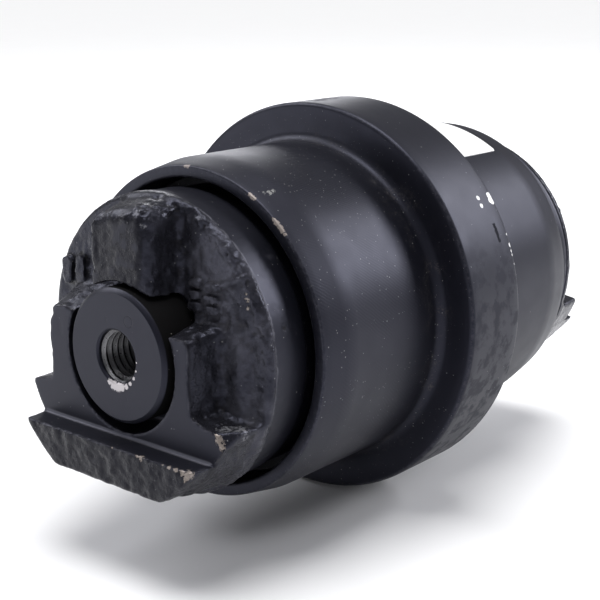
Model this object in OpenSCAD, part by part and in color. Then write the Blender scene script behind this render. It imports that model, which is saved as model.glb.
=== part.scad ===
// Centre-flange track roller of a compact excavator. A flanged roller shell turns on a fixed
// shaft between two cast end collars, which hang under the track frame.
// The roller's axis is Y, +Z is up and the origin is the middle of the roller.

/* [Roller shell] */
// Diameter of the centre flange
flange_d = 150; // [146:1:156]
// Width of the centre flange
flange_w = 31.2; // [28:0.2:36]
// Diameter of the treads beside the flange
tread_d = 121.8; // [120:0.2:126]
// Diameter of the shell at its two rims
rim_d = 117.6; // [116:0.2:119]
// Length of the shell from rim to rim
shell_len = 155.4; // [154:0.2:158]
// Length of the conical band at each rim
band_len = 12.7; // [8:0.1:16]
// Radius of the fillets between flange and treads
fillet_r = 3; // [1:0.5:6]

/* [End collars] */
// Diameter of the turned part of a collar
collar_d = 103; // [101:0.5:105]
// Diameter of a collar at the front of its foot
foot_d = 98.6; // [97:0.2:101]
// Distance from the middle to a collar's cast end face
cast_face = 95.8; // [94:0.2:98]
// Distance from the middle to a collar's machined seat
seat_face = 111.5; // [109:0.5:113]
// Distance from the middle to the front of a foot
foot_face = 120.6; // [118:0.2:124]
// Height of the ledge on a foot, from the axis
ledge_z = -28.5; // [-30:0.5:-28]
// Height of the underside of a foot, from the axis
foot_z = -42.5; // [-45:0.5:-40]
// Height of the tabs beside the seat, from the axis
tab_z = -17.5; // [-20:0.5:-15]
// Height of the two horns beside the shaft, from the axis
horn_z = 10.5; // [6:0.5:14]
// Reach of the horn on the right, from the axis
horn_right = 31; // [30:0.5:34]
// Reach of the horn on the left, from the axis
horn_left = 36; // [33:0.5:38]
// Width of the lug above the shaft
lug_w = 25.4; // [20:0.2:32]
// Radius of the clearance round the shaft end
clearance_r = 25.8; // [25:0.1:26.5]
// Drop of that clearance below the axis
clearance_drop = 1.1; // [0:0.1:1.2]

/* [Shaft] */
// Diameter of the shaft
shaft_d = 46; // [44:0.5:48]
// Length of the shaft
shaft_len = 227.6; // [225:0.2:230]
// Nominal thread diameter of the bolt holes
bolt_d = 18; // [16:2:20]
// Depth of the bolt holes
bolt_depth = 36; // [25:1:40]
// Diameter of the countersinks of the bolt holes
countersink_d = 19.4; // [19:0.1:23]
// Diameter of the oil gallery
gallery_d = 8; // [5:0.5:9]

/* [Bushes and seals] */
// Radial running clearance between shaft and bushes
running_gap = 0.06; // [0.02:0.01:0.1]
// Outer diameter of the bushes
bush_d = 55; // [52:0.5:58]
// Distance from the middle to the inner end of a bush
bush_in = 14; // [8:1:24]
// Distance from the middle to the outer face of a bush
bush_out = 55; // [54:0.5:56]
// Radius of the two seal cavities
cavity_r = 46; // [45.5:0.1:46.5]
// Distance from the middle to the sliding faces of a seal
seal_face = 62; // [61.5:0.1:62.5]
// Section radius of the toric rings
toric_r = 3.35; // [3:0.05:3.4]

/* [Small parts] */
// Diameter of the lock pins
pin_d = 8; // [6:0.5:10]
// Diameter of the oil plug
plug_d = 12; // [11:0.5:14]
// Thickness of the label
label_t = 0.2; // [0.1:0.05:0.4]

/* [Hidden] */
$fn = 96;
eps = 0.01;

flange_r = flange_d / 2;
flange_half = flange_w / 2;
tread_r = tread_d / 2;
rim_r = rim_d / 2;
shell_half = shell_len / 2;
band_start = shell_half - band_len;
edge = 1;             // chamfer of turned edges
bush_r = bush_d / 2;
bush_flange_r = 33;
bush_flange_t = 3;
bush_seat = bush_out - bush_flange_t;
reservoir_r = bush_r + 2;
counterbore_r = 54.5;

collar_r = collar_d / 2;
foot_r = foot_d / 2;
hub_r = 33;
hub_gap = 0.3;        // end play between bush flange and collar hub
skirt_r = collar_r - 0.7;
skirt_gap = 1.2;      // from the seal plane to the end of the collar's skirt
cavity_depth = 10;    // from the seal plane to the floor of a seal cavity
cast_edge_r = 3.5;    // rounding of the cast face's rim
seat_root = cast_face - 6;
step_h = 1.8;         // height of the pads beside the horns
step_reach = 11;      // width of those pads
corner_r = 3;
tab_rise = 2.2;       // the right tab's rise beside its horn
tab_slope = 0.04;     // its fall towards the outside
lug_edge_r = 4;
lug_top_z = foot_r - 1.3;
lug_slant = 11;
lug_rise = 14;
lug_cut = 2.6;
flat_start = cast_face - 1.5;
ledge_fillet = 1;
mark_h = 1.2;         // height of the raised foundry marks
clearance_shift = 0.8; // the clearance's offset to the left of the shaft

shaft_r = shaft_d / 2;
shaft_half = shaft_len / 2;
shaft_chamfer_r = 1.4;
shaft_chamfer_l = 1.3;
bolt_r = bolt_d / 2;
bolt_bottom = shaft_half - bolt_depth;
plug_len = 9;
gallery_feed_d = 6;
o_ring_at = 82;
o_ring_r = 1.15;
o_ring_groove = 2.4;
pin_at = 88.5;
pin_root = 16;        // distance from the axis to the inner end of a lock pin
pin_sunk = 1.5;       // depth of its outer end below the collar's surface

ring_bore_r = 36;
ring_face_r = 43.4;
toric_centre_r = 42.6;
toric_offset = 6.4;   // from the seal plane to the middle of a toric ring
face_gap = 0.1;       // from the seal plane to each sliding face

label_from = 57.5;    // the label's two edges, as angles above +X
label_to = 118;
label_in = 24;
label_out = 63;

// An end's own frame: x to the right and y up as seen from outside, z outwards along the axis.
module near_end() rotate([90, 0, 0]) children();
module far_end() rotate([0, 0, 180]) near_end() children();

// A body of revolution about the roller's axis, from a profile of [radius, distance] points.
module turned(profile) rotate_extrude() polygon(profile);

// An upright block with its two upper corners rounded.
module round_topped(x0, x1, y0, y1, r) {
    translate([x0, y0]) square([x1 - x0, y1 - y0 - r]);
    translate([x0 + r, y0]) square([x1 - x0 - 2 * r, y1 - y0]);
    for (x = [x0 + r, x1 - r])
        translate([x, y1 - r]) circle(r);
}

// ---- roller shell ----

// Half of the shell's section, with the fillet between tread and flange cut round.
module shell_half_section() {
    difference() {
        polygon([
            [reservoir_r, 0],
            [reservoir_r, bush_in],
            [bush_r, bush_in],
            [bush_r, bush_seat],
            [cavity_r, bush_seat],
            [cavity_r, seal_face],
            [counterbore_r, seal_face],
            [counterbore_r, shell_half - edge],
            [counterbore_r + edge, shell_half],
            [rim_r - edge, shell_half],
            [rim_r, shell_half - edge],
            [tread_r, band_start],
            [tread_r, flange_half + fillet_r],
            [tread_r + fillet_r, flange_half],
            [flange_r - edge, flange_half],
            [flange_r, flange_half - edge],
            [flange_r, 0]
        ]);
        translate([tread_r + fillet_r, flange_half + fillet_r]) circle(fillet_r);
    }
}

module roller_shell() color([0.06, 0.06, 0.07]) near_end() {
    rotate_extrude() {
        shell_half_section();
        mirror([0, 1]) shell_half_section();
    }
}

// ---- bushes ----

module bush() color([0.72, 0.52, 0.25])
    turned([
        [shaft_r + running_gap, bush_in],
        [bush_r, bush_in],
        [bush_r, bush_seat],
        [bush_flange_r, bush_seat],
        [bush_flange_r, bush_out],
        [shaft_r + running_gap, bush_out]
    ]);

module near_bush() near_end() bush();
module far_bush() far_end() bush();

// ---- floating seals ----

// The rotating half of a seal lies on the inner side of the seal plane, the fixed half on the outer.
module seal_ring(side) color([0.55, 0.56, 0.58])
    translate([0, 0, seal_face]) mirror([0, 0, side])
        turned([
            [ring_bore_r, -7.5],
            [ring_bore_r + 2.2, -7.5],
            [ring_bore_r + 4, -3.8],
            [ring_face_r, -2],
            [ring_face_r, -face_gap],
            [ring_bore_r, -face_gap]
        ]);

module toric_ring(side) color([0.03, 0.03, 0.03])
    translate([0, 0, seal_face]) mirror([0, 0, side])
        rotate_extrude() translate([toric_centre_r, -toric_offset]) circle(toric_r);

module near_rotating_seal_ring() near_end() seal_ring(0);
module far_rotating_seal_ring() far_end() seal_ring(0);
module near_fixed_seal_ring() near_end() seal_ring(1);
module far_fixed_seal_ring() far_end() seal_ring(1);
module near_rotating_toric_ring() near_end() toric_ring(0);
module far_rotating_toric_ring() far_end() toric_ring(0);
module near_fixed_toric_ring() near_end() toric_ring(1);
module far_fixed_toric_ring() far_end() toric_ring(1);

// ---- shaft and its small parts ----

module shaft_half_body() {
    translate([0, 0, -eps]) cylinder(r = shaft_r, h = shaft_half - shaft_chamfer_l + eps);
    translate([0, 0, shaft_half - shaft_chamfer_l])
        cylinder(r1 = shaft_r, r2 = shaft_r - shaft_chamfer_r, h = shaft_chamfer_l);
}

module bolt_hole() {
    mouth = countersink_d / 2 - bolt_r;
    translate([0, 0, bolt_bottom]) cylinder(r = bolt_r, h = bolt_depth + 1);
    translate([0, 0, shaft_half - mouth])
        cylinder(r1 = bolt_r, r2 = countersink_d / 2 + eps, h = mouth + eps);
}

module pin_hole() translate([0, -pin_root, pin_at]) rotate([90, 0, 0])
    cylinder(d = pin_d, h = collar_r);

module shaft() color([0.08, 0.08, 0.09]) difference() {
    union() {
        near_end() shaft_half_body();
        far_end() shaft_half_body();
    }
    near_end() {
        bolt_hole();
        translate([0, 0, bolt_bottom - plug_len]) cylinder(d = plug_d, h = plug_len + 1);
        cylinder(d = gallery_d, h = bolt_bottom);
        pin_hole();
    }
    far_end() {
        bolt_hole();
        pin_hole();
    }
    cylinder(d = gallery_feed_d, h = shaft_d + 2, center = true);
}

module o_ring() color([0.04, 0.04, 0.04]) translate([0, 0, o_ring_at])
    rotate_extrude() translate([shaft_r + o_ring_groove / 2, 0]) circle(o_ring_r);

module near_shaft_o_ring() near_end() o_ring();
module far_shaft_o_ring() far_end() o_ring();

module lock_pin() color([0.6, 0.6, 0.62]) translate([0, -pin_root, pin_at]) rotate([90, 0, 0])
    cylinder(d = pin_d, h = collar_r - pin_root - pin_sunk);

module near_lock_pin() near_end() lock_pin();
module far_lock_pin() far_end() lock_pin();

module oil_plug() color([0.5, 0.5, 0.48]) near_end()
    translate([0, 0, bolt_bottom - plug_len]) difference() {
        cylinder(d = plug_d, h = plug_len);
        translate([0, 0, plug_len - 5]) cylinder(d = 5.8, h = 6, $fn = 6);
    }

// ---- end collars ----

// The collar's turned body, from the seal cavity to the cast end face with its rounded rim.
module collar_body() rotate_extrude() difference() {
    union() {
        polygon([
            [shaft_r, bush_out + hub_gap],
            [hub_r, bush_out + hub_gap],
            [hub_r, seal_face + cavity_depth],
            [cavity_r, seal_face + cavity_depth],
            [cavity_r, seal_face + skirt_gap],
            [skirt_r, seal_face + skirt_gap],
            [skirt_r, shell_half],
            [collar_r, shell_half + collar_r - skirt_r],
            [collar_r, cast_face - cast_edge_r],
            [collar_r - cast_edge_r, cast_face],
            [shaft_r, cast_face]
        ]);
        translate([collar_r - cast_edge_r, cast_face - cast_edge_r]) circle(cast_edge_r);
    }
    translate([shaft_r - eps, o_ring_at - 1.6]) square([o_ring_groove + eps, 3.2]);
}

// The cast taper of a collar's outside: its radius at a distance from the middle.
function draft_r(d) = collar_r + (foot_r - collar_r) * (d - cast_face) / (foot_face - cast_face);

// What the horns, the tabs and the foot stay within.
module collar_envelope() turned([
    [0, seat_root],
    [collar_r, seat_root],
    [collar_r, cast_face],
    [foot_r, foot_face],
    [0, foot_face]
]);

// What the lug stays within: the same taper with its outer edge rounded.
module lug_envelope() rotate_extrude() {
    rounding_at = seat_face - lug_edge_r;
    polygon([
        [0, seat_root],
        [collar_r, seat_root],
        [collar_r, cast_face],
        [draft_r(rounding_at), rounding_at],
        [draft_r(rounding_at) - lug_edge_r, seat_face],
        [0, seat_face]
    ]);
    translate([draft_r(rounding_at) - lug_edge_r, rounding_at]) circle(lug_edge_r);
}

module raised(from, to) translate([0, 0, from]) linear_extrude(to - from) children();

module clearance() translate([-clearance_shift, -clearance_drop]) circle(clearance_r);

// The machined seat: two horns beside the shaft and the tabs below them, the right one sloping.
module seat_outline() difference() {
    union() {
        round_topped(-horn_left, horn_right, -collar_r, horn_z, corner_r);
        polygon([
            [-collar_r, -collar_r],
            [collar_r, -collar_r],
            [collar_r, tab_z - tab_slope * (collar_r - horn_right)],
            [horn_right, tab_z + tab_rise],
            [0, tab_z],
            [-collar_r, tab_z]
        ]);
    }
    clearance();
}

// The low pad on the cast face beside the right horn.
module pad_outline() difference() {
    round_topped(0, horn_right + step_reach, tab_z, horn_z, corner_r);
    clearance();
}

module lug_outline() difference() {
    translate([-lug_w / 2, 0]) square([lug_w, collar_r]);
    clearance();
}

// All that lies beyond the lug's top, which is lower on the left, where its corner is cut off,
// and rises towards the drum.
module above_lug() translate([0, lug_top_z, seat_face]) rotate([lug_rise, 0, 0]) {
    corner_turn = lug_slant + 45;
    beyond(lug_slant, 0);
    beyond(corner_turn, lug_w / 2 * (sin(corner_turn) - tan(lug_slant) * cos(corner_turn)) - lug_cut);
}

module beyond(turn, out) rotate(turn) translate([-collar_r, out, -collar_r])
    cube([2 * collar_r, collar_r, 2 * collar_r]);

module foot() raised(seat_root, foot_face)
    translate([-collar_r, foot_z]) square([2 * collar_r, ledge_z - foot_z]);

// Concave fillet between the seat and the ledge.
module ledge_root() difference() {
    raised(seat_face - eps, seat_face + ledge_fillet)
        translate([-collar_r, ledge_z - eps]) square([2 * collar_r, ledge_fillet + eps]);
    translate([0, ledge_z + ledge_fillet, seat_face + ledge_fillet]) rotate([0, 90, 0])
        cylinder(r = ledge_fillet, h = 2 * collar_r, center = true);
}

// Raised foundry marks: a short row of bars on the left and of round pads on the right.
// A plain bar with round ends, width w and length l, upright or lying.
module bar(x, y, w, l, turn = 0) translate([x, y]) rotate(turn) {
    square([w, l - w], center = true);
    for (end = [-1, 1])
        translate([0, end * (l - w) / 2]) circle(d = w);
}

module foundry_marks() raised(cast_face - cast_edge_r / 2, cast_face + mark_h) {
    bar(-42.2, 20.4, 4.2, 9.6);
    bar(-35.4, 21.6, 4.2, 9.6);
    for (row = [0:2]) {
        bar(20.8, 25 - 3.8 * row, 2.2, 5.4, 90);
        bar(28.2, 24.6 - 3.8 * row, 2.2, 5.4, 90);
    }
}

module collar() color([0.07, 0.07, 0.08]) difference() {
    union() {
        collar_body();
        intersection() {
            collar_envelope();
            union() {
                raised(seat_root, seat_face) seat_outline();
                raised(seat_root, cast_face + step_h) pad_outline();
                foot();
                ledge_root();
            }
        }
        intersection() {
            lug_envelope();
            difference() {
                raised(seat_root, seat_face) lug_outline();
                above_lug();
            }
        }
        foundry_marks();
    }
    raised(flat_start, foot_face + 1)
        translate([-collar_r, -2 * collar_r]) square([2 * collar_r, 2 * collar_r + foot_z]);
    cylinder(r = shaft_r, h = foot_face + 1);
    pin_hole();
}

module near_collar() near_end() collar();
module far_collar() far_end() collar();

// ---- label ----

module label() color([0.95, 0.95, 0.93]) near_end()
    intersection() {
        turned([
            [tread_r, -label_out],
            [tread_r + label_t, -label_out],
            [tread_r + label_t, -label_in],
            [tread_r, -label_in]
        ]);
        raised(-label_out - 1, -label_in + 1)
            polygon([
                [0, 0],
                [flange_d * cos(label_from), flange_d * sin(label_from)],
                [flange_d * cos(label_to), flange_d * sin(label_to)]
            ]);
    }

roller_shell();
near_bush();
far_bush();
near_rotating_seal_ring();
far_rotating_seal_ring();
near_rotating_toric_ring();
far_rotating_toric_ring();
label();
shaft();
near_collar();
far_collar();
near_fixed_seal_ring();
far_fixed_seal_ring();
near_fixed_toric_ring();
far_fixed_toric_ring();
near_shaft_o_ring();
far_shaft_o_ring();
near_lock_pin();
far_lock_pin();
oil_plug();
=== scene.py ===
"""Track roller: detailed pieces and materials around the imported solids, in their frame, in metres."""

import math

import bpy
import numpy as np
from mathutils import Matrix, Vector


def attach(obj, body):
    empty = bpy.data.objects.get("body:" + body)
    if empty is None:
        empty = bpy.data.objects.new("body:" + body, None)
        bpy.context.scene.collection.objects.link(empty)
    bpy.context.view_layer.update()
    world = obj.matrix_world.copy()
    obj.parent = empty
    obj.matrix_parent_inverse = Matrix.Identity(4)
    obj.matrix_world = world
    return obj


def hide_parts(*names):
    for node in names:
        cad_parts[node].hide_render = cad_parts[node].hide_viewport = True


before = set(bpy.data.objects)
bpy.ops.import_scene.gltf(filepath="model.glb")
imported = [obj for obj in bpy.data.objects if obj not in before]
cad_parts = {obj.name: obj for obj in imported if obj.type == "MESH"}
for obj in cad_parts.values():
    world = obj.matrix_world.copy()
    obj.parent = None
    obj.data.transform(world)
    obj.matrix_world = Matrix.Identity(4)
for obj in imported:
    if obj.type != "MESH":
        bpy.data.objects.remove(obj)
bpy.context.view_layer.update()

MM = 0.001

# Camera: angles in degrees, distances in mm
AZIMUTH, ELEVATION, ROLL = 40.35, 14.66, -0.18
DISTANCE, PAN_RIGHT, PAN_UP = 502.6, -13.17, -3.51
LENS, SENSOR = 76.58, 36.0

# Sizes in mm, as in the solids. An end's own frame: x right and z up as seen from outside, and d the
# distance from the roller's middle.
FLANGE_R, FLANGE_HALF = 75.0, 15.6
TREAD_R, RIM_R, RIM_BORE_R, SHELL_HALF, BAND_START = 60.9, 58.8, 54.5, 77.7, 65.0
CAVITY_R, SEAL_FACE, BUSH_SEAT, BUSH_R, BUSH_IN, RESERVOIR_R = 46.0, 62.0, 52.0, 27.5, 14.0, 29.5
COLLAR_R, SKIRT_R, FOOT_R, HUB_R, SHAFT_R = 51.5, 50.8, 49.3, 33.0, 23.0
HUB_FACE, SKIRT_END, CAVITY_FLOOR = 55.3, 63.2, 72.0
CAST_FACE, SEAT, FOOT_FACE = 95.8, 111.5, 120.6
LEDGE_Z, FOOT_Z, TAB_Z, HORN_Z = -28.5, -42.5, -17.5, 10.5
HORN_RIGHT, HORN_LEFT, LUG_HALF, LUG_FACE, LUG_TOP = 31.0, 36.3, 12.7, 111.2, 48.0
CLEARANCE_R, CLEARANCE_X, CLEARANCE_Z = 25.8, -0.8, -1.1
TURNED_END, FLAT_START, CAST_SKIN = 92.6, 94.3, 0.35
DOME_SLOPE, DOME_R = 0.03, 26.0  # the cast face falls off outside this radius, on its right
O_RING_AT, O_RING_GROOVE_R, O_RING_GROOVE_HALF = 82.0, 25.4, 1.6
PIN_AT, PIN_R, PIN_ROOT = 88.5, 4.0, -16.0
HOLE_BOTTOM, HOLE_MOUTH, THREAD_R, THREAD_MINOR_R, THREAD_PITCH = 77.8, 113.2, 9.0, 7.75, 2.5
LABEL_FROM, LABEL_TO, LABEL_IN, LABEL_OUT, LABEL_T = 57.5, 118.0, 24.0, 63.0, 0.2

# The castings: slopes (per mm), roundings, and places of small features
LUG_SIDE_DRAFT, LUG_TOP_SLANT, LUG_TOP_RISE, LUG_ROUND = 0.02, 0.19, 0.25, 5.5
HORN_RIGHT_DRAFT, HORN_LEFT_DRAFT, HORN_RIGHT_RISE, HORN_LEFT_RISE, HORN_ROUND = 0.12, 0.1, 0.12, 0.42, 3.5
TAB_ROOT_Z, TAB_FALL, PAD_RIGHT, PAD_TOP, PAD_HEIGHT = -15.3, 0.2, 42.0, 11.5, 2.0
TAB_CUT_X, TAB_CUT_Z, TAB_CUT_D, TAB_CUT_AT = 0.875, 0.48, 0.8, 28.7  # the plane across a tab's corner
RIDGE_X, RIDGE_Z, RIDGE_LENGTH, RIDGE_CLIMB, RIDGE_R = 32.5, 26.0, 8.0, 3.0, 0.9
FILLET, HIDDEN_EDGE, STOCK = 3.0, 0.1, 0.6  # STOCK is what machining takes off

WORLD_TOP, HORIZON = 0.27, 0.16  # brightness of the studio, above and at the horizon
OVERHEAD = 2.75  # strength of the soft light straight overhead
STUDIO_COOL = (0.95, 0.955, 1.0)  # colour of the studio's light
CAST_STEP = 0.68  # mesh size of the castings
CAST_SPLIT = 76.0  # a casting is a free form further out than this, and turned further in


# ---- meshes ----


def new_object(name, vertices, faces, sharp):
    """An object from vertices in mm and faces as lists, smooth but for edges sharper than that angle."""
    mesh = bpy.data.meshes.new(name)
    mesh.from_pydata((np.asarray(vertices) * MM).tolist(), [], faces)
    mesh.update()
    mesh.shade_smooth()
    mesh.set_sharp_from_angle(angle=math.radians(sharp))
    made = bpy.data.objects.new(name, mesh)
    bpy.context.scene.collection.objects.link(made)
    return made


def new_piece(name, vertices, faces, body, node, sharp):
    """An object which stands for a CAD node and rides on its body."""
    piece = new_object(name, vertices, faces.tolist(), sharp)
    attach(piece, body)
    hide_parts(node)
    return piece


def set_attribute(piece, name, values):
    """Keeps a number for each vertex, which the material reads."""
    layer = piece.data.attributes.new(name, "FLOAT", "POINT")
    layer.data.foreach_set("value", np.asarray(values, np.float32))


def to_row_frame(p, end):
    """Points (x, z, d) of an end's own frame, in the row frame. The far end is the near one turned round."""
    x, z, d = np.asarray(p, float).T
    side = 1 if end == "near" else -1
    return np.stack([side * x, -side * d, z], 1)


def rounded(corners, steps=5):
    """A closed outline from corners (r, y, rounding radius), with each corner turned into an arc."""
    out = []
    for i, (r, y, radius) in enumerate(corners):
        here = np.array([r, y])
        before = np.array(corners[i - 1][:2]) - here
        after = np.array(corners[(i + 1) % len(corners)][:2]) - here
        before, after = before / np.linalg.norm(before), after / np.linalg.norm(after)
        half = math.acos(float(np.clip(before @ after, -1, 1))) / 2
        if radius == 0:
            out.append(here)
            continue
        towards = (before + after) / np.linalg.norm(before + after)
        centre = here + towards * radius / math.sin(half)
        start = here + before * radius / math.tan(half) - centre
        end = here + after * radius / math.tan(half) - centre
        turn = math.pi - 2 * half
        for t in np.linspace(0, 1, steps + 1):
            arc = math.sin((1 - t) * turn) * start + math.sin(t * turn) * end
            out.append(centre + arc / math.sin(turn))
    return np.array(out)


def refined(outline, longest):
    """The same closed outline with no stretch longer than longest."""
    out = []
    for a, b in zip(outline, np.roll(outline, -1, 0)):
        parts = max(1, int(math.ceil(np.linalg.norm(b - a) / longest)))
        out += [a + (b - a) * k / parts for k in range(parts)]
    return np.array(out)


def ring_faces(around, along, closed_around=True):
    """Quads of a grid of vertices numbered around * along; along is a closed outline."""
    last = around if closed_around else around - 1
    k, i = np.meshgrid(np.arange(last), np.arange(along), indexing="ij")
    k, i = k.ravel(), i.ravel()
    k2, i2 = (k + 1) % around, (i + 1) % along
    return np.stack([k * along + i, k * along + i2, k2 * along + i2, k2 * along + i], 1)


def turned(outline, segments):
    """Vertices and outward-facing quads of a closed (r, y) outline turned about the Y axis."""
    r, y = outline.T
    area = np.sum(r * np.roll(y, -1) - np.roll(r, -1) * y)
    if area > 0:
        outline = outline[::-1]
        r, y = outline.T
    a = np.linspace(0, 2 * math.pi, segments, endpoint=False)[:, None]
    vertices = np.stack([r * np.cos(a), y + 0 * a, r * np.sin(a)], -1).reshape(-1, 3)
    return vertices, ring_faces(segments, len(outline))


# ---- smooth noise and free forms ----


def lumps(p, size, seed):
    """Smooth random values in [-1, 1] at points p, with lumps of about size."""
    lattice = np.random.default_rng(seed).uniform(-1, 1, (32, 32, 32))
    cell = np.floor(p / size).astype(int)
    f = p / size - cell
    f = f * f * (3 - 2 * f)
    total = np.zeros(len(p))
    for corner in np.ndindex(2, 2, 2):
        weight = np.prod(np.where(corner, f, 1 - f), axis=1)
        total += weight * lattice[tuple(((cell + corner) % 32).T)]
    return total


def layered(p, layers):
    """The sum of several lumps; each layer is its height, size and seed."""
    return sum(height * lumps(p, size, seed) for height, size, seed in layers)


def smax(a, b, k):
    """The larger of two fields, with the edge between them rounded over about k."""
    h = np.maximum(k - np.abs(a - b), 0) / k
    return np.maximum(a, b) + h * h * k / 4


def smin(a, b, k):
    """The smaller of two fields, with the corner between them filled over about k."""
    return -smax(-a, -b, k)


def slopes(field, p, step=0.02):
    """Unit normals of a field at points p."""
    grad = np.stack([field(p + e) - field(p - e) for e in np.eye(3) * step], 1)
    return grad / np.maximum(np.linalg.norm(grad, axis=1, keepdims=True), 1e-9)


def crossings(value, field, low, step):
    """For each grid line the surface crosses: its point, normal, four cells, and the quad they make."""
    n = np.array(value.shape)
    inside = value < 0
    for axis in range(3):
        a, b = (axis + 1) % 3, (axis + 2) % 3
        start = [slice(None)] * 3
        stop = [slice(None)] * 3
        start[axis], stop[axis] = slice(None, -1), slice(1, None)
        at = np.argwhere(inside[tuple(start)] != inside[tuple(stop)])
        at = at[(at[:, a] > 0) & (at[:, b] > 0) & (at[:, a] < n[a] - 1) & (at[:, b] < n[b] - 1)]
        one = np.eye(3, dtype=int)
        v0, v1 = value[tuple(at.T)], value[tuple((at + one[axis]).T)]
        point = low + at * step
        point[:, axis] += step * v0 / (v0 - v1)
        ring = [at, at - one[a], at - one[a] - one[b], at - one[b]]
        cells = np.stack([np.ravel_multi_index(tuple(c.T), tuple(n - 1)) for c in ring], 1)
        quads = np.where((v0 < 0)[:, None], cells, cells[:, ::-1])
        yield point, slopes(field, point), cells, quads


def surface_of(field, low, high, step):
    """The closed surface where field is zero: vertices and quads, with a vertex on each edge and corner."""
    steady, reach = 0.08, 0.55  # pull towards the middle of the crossings, and furthest place in a cell
    low = np.asarray(low, float)
    count = np.ceil((np.asarray(high) - low) / step).astype(int) + 1
    axes = [low[k] + step * np.arange(count[k]) for k in range(3)]
    grid = np.stack(np.meshgrid(*axes, indexing="ij"), -1).reshape(-1, 3)
    value = np.concatenate([field(part) for part in np.array_split(grid, 12)]).reshape(count)
    found = list(crossings(value, field, low, step))
    point = np.concatenate([f[0].repeat(4, 0) for f in found])
    normal = np.concatenate([f[1].repeat(4, 0) for f in found])
    cell = np.concatenate([f[2].ravel() for f in found])
    quads = np.concatenate([f[3] for f in found])
    used, index = np.unique(cell, return_inverse=True)
    total = lambda w: np.bincount(index, weights=w, minlength=len(used))
    hits = total(np.ones(len(cell)))
    middle = np.stack([total(point[:, k]) for k in range(3)], 1) / hits[:, None]
    away = np.sum(normal * (point - middle[index]), axis=1)
    matrix = np.zeros((len(used), 3, 3))
    for i, j in np.ndindex(3, 3):
        matrix[:, i, j] = total(normal[:, i] * normal[:, j]) + (steady * hits if i == j else 0)
    side = np.stack([total(normal[:, k] * away) for k in range(3)], 1)
    moved = np.linalg.solve(matrix, side[:, :, None])[:, :, 0]
    corner = np.stack(np.unravel_index(used, tuple(count - 1)), 1)
    centre = low + (corner + 0.5) * step
    vertices = np.clip(middle + moved, centre - reach * step, centre + reach * step)
    return vertices, np.searchsorted(used, quads)


def roundness(vertices, quads, normals):
    """Per vertex: above 0 on outside edges, below 0 in inside corners."""
    passes = 2
    a, b = quads.ravel(), np.roll(quads, -1, 1).ravel()
    first, second = np.concatenate([a, b]), np.concatenate([b, a])
    count = np.bincount(first, minlength=len(vertices))
    mean = lambda v: np.stack(
        [np.bincount(first, weights=c[second], minlength=len(vertices)) / count for c in v.T], 1
    )
    bend = np.sum((vertices - mean(vertices)) * normals, axis=1)[:, None]
    for _ in range(passes):
        bend = (bend + mean(bend)) / 2
    return bend[:, 0]


# ---- end collars ----


def clearance_of(x, z):
    """Field of the clearance cut round the shaft."""
    return CLEARANCE_R - np.hypot(x - CLEARANCE_X, z - CLEARANCE_Z)


def cast_lug(x, z, d, outside):
    """The lug at the top: a crisp left side, and a soft right side and sloping top."""
    depth = LUG_FACE - d
    left = smax(-x - LUG_HALF - 0.3, -depth, 0.9)
    right = smax(x - LUG_HALF - LUG_SIDE_DRAFT * depth, -depth, LUG_ROUND)
    top = smax(outside - 0.1, z - LUG_TOP - LUG_TOP_SLANT * x - LUG_TOP_RISE * depth, 3.0)
    return smax(smax(smax(left, right, HIDDEN_EDGE), top, LUG_ROUND), -z, HIDDEN_EDGE)


def cast_horns(x, z, d, outside):
    """The horns beside the shaft, with a ramp and a small hump on the left, and a low pad on the right."""
    depth = SEAT - d
    right = x - HORN_RIGHT - HORN_RIGHT_DRAFT * depth
    left = -x - HORN_LEFT - HORN_LEFT_DRAFT * depth
    hump = 1.2 * np.exp(-((x + 29) / 5) ** 2)
    rise = np.where(x < 0, HORN_LEFT_RISE, HORN_RIGHT_RISE) * depth + hump
    horns = smax(smax(right, left, HIDDEN_EDGE), z - HORN_Z - rise, HORN_ROUND)
    horns = smax(horns, d - SEAT - STOCK, 1.0)
    pad = smax(smax(x - PAD_RIGHT, z - PAD_TOP, 5.0), d - CAST_FACE - PAD_HEIGHT, 3.0)
    return smax(smin(horns, smax(pad, -x, HIDDEN_EDGE), FILLET), outside, 2.0)


def cast_tabs(x, z, d, outside):
    """The tabs below the horns, which reach to the outside; the right one's corner is cut off."""
    past = np.maximum(np.where(x > 0, x - HORN_RIGHT, -x - HORN_LEFT), 0)
    top = TAB_ROOT_Z - np.minimum(TAB_FALL * past, TAB_ROOT_Z - TAB_Z)
    tabs = smax(smax(z - top, outside, 2.0), d - SEAT - STOCK, 1.0)
    cut_corner = TAB_CUT_X * x + TAB_CUT_Z * z - TAB_CUT_AT - TAB_CUT_D * (SEAT - d)
    return smax(tabs, cut_corner, 1.0)


def cast_foot(z, d, outside):
    """The foot at the bottom, which stands out furthest."""
    block = smax(smax(z - LEDGE_Z - 0.5, FOOT_Z - z - 0.5, HIDDEN_EDGE), outside, 1.2)
    return smax(block, d - FOOT_FACE, 1.0)


# Raised foundry bars on the cast face: x and z of the middle, half length in x and in z, and radius
FOUNDRY_BARS = [(-42.2, 20.4, 0.3, 2.8, 2.1), (-35.4, 21.6, 0.3, 2.8, 2.1)]
FOUNDRY_BARS += [(20.8, z, 1.7, 0.15, 1.1) for z in (25.0, 21.2, 17.4)]
FOUNDRY_BARS += [(28.2, z, 1.7, 0.15, 1.1) for z in (24.6, 20.8, 17.0)]
BAR_HEIGHT, BAR_WOBBLE = 1.9, 0.45


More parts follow.
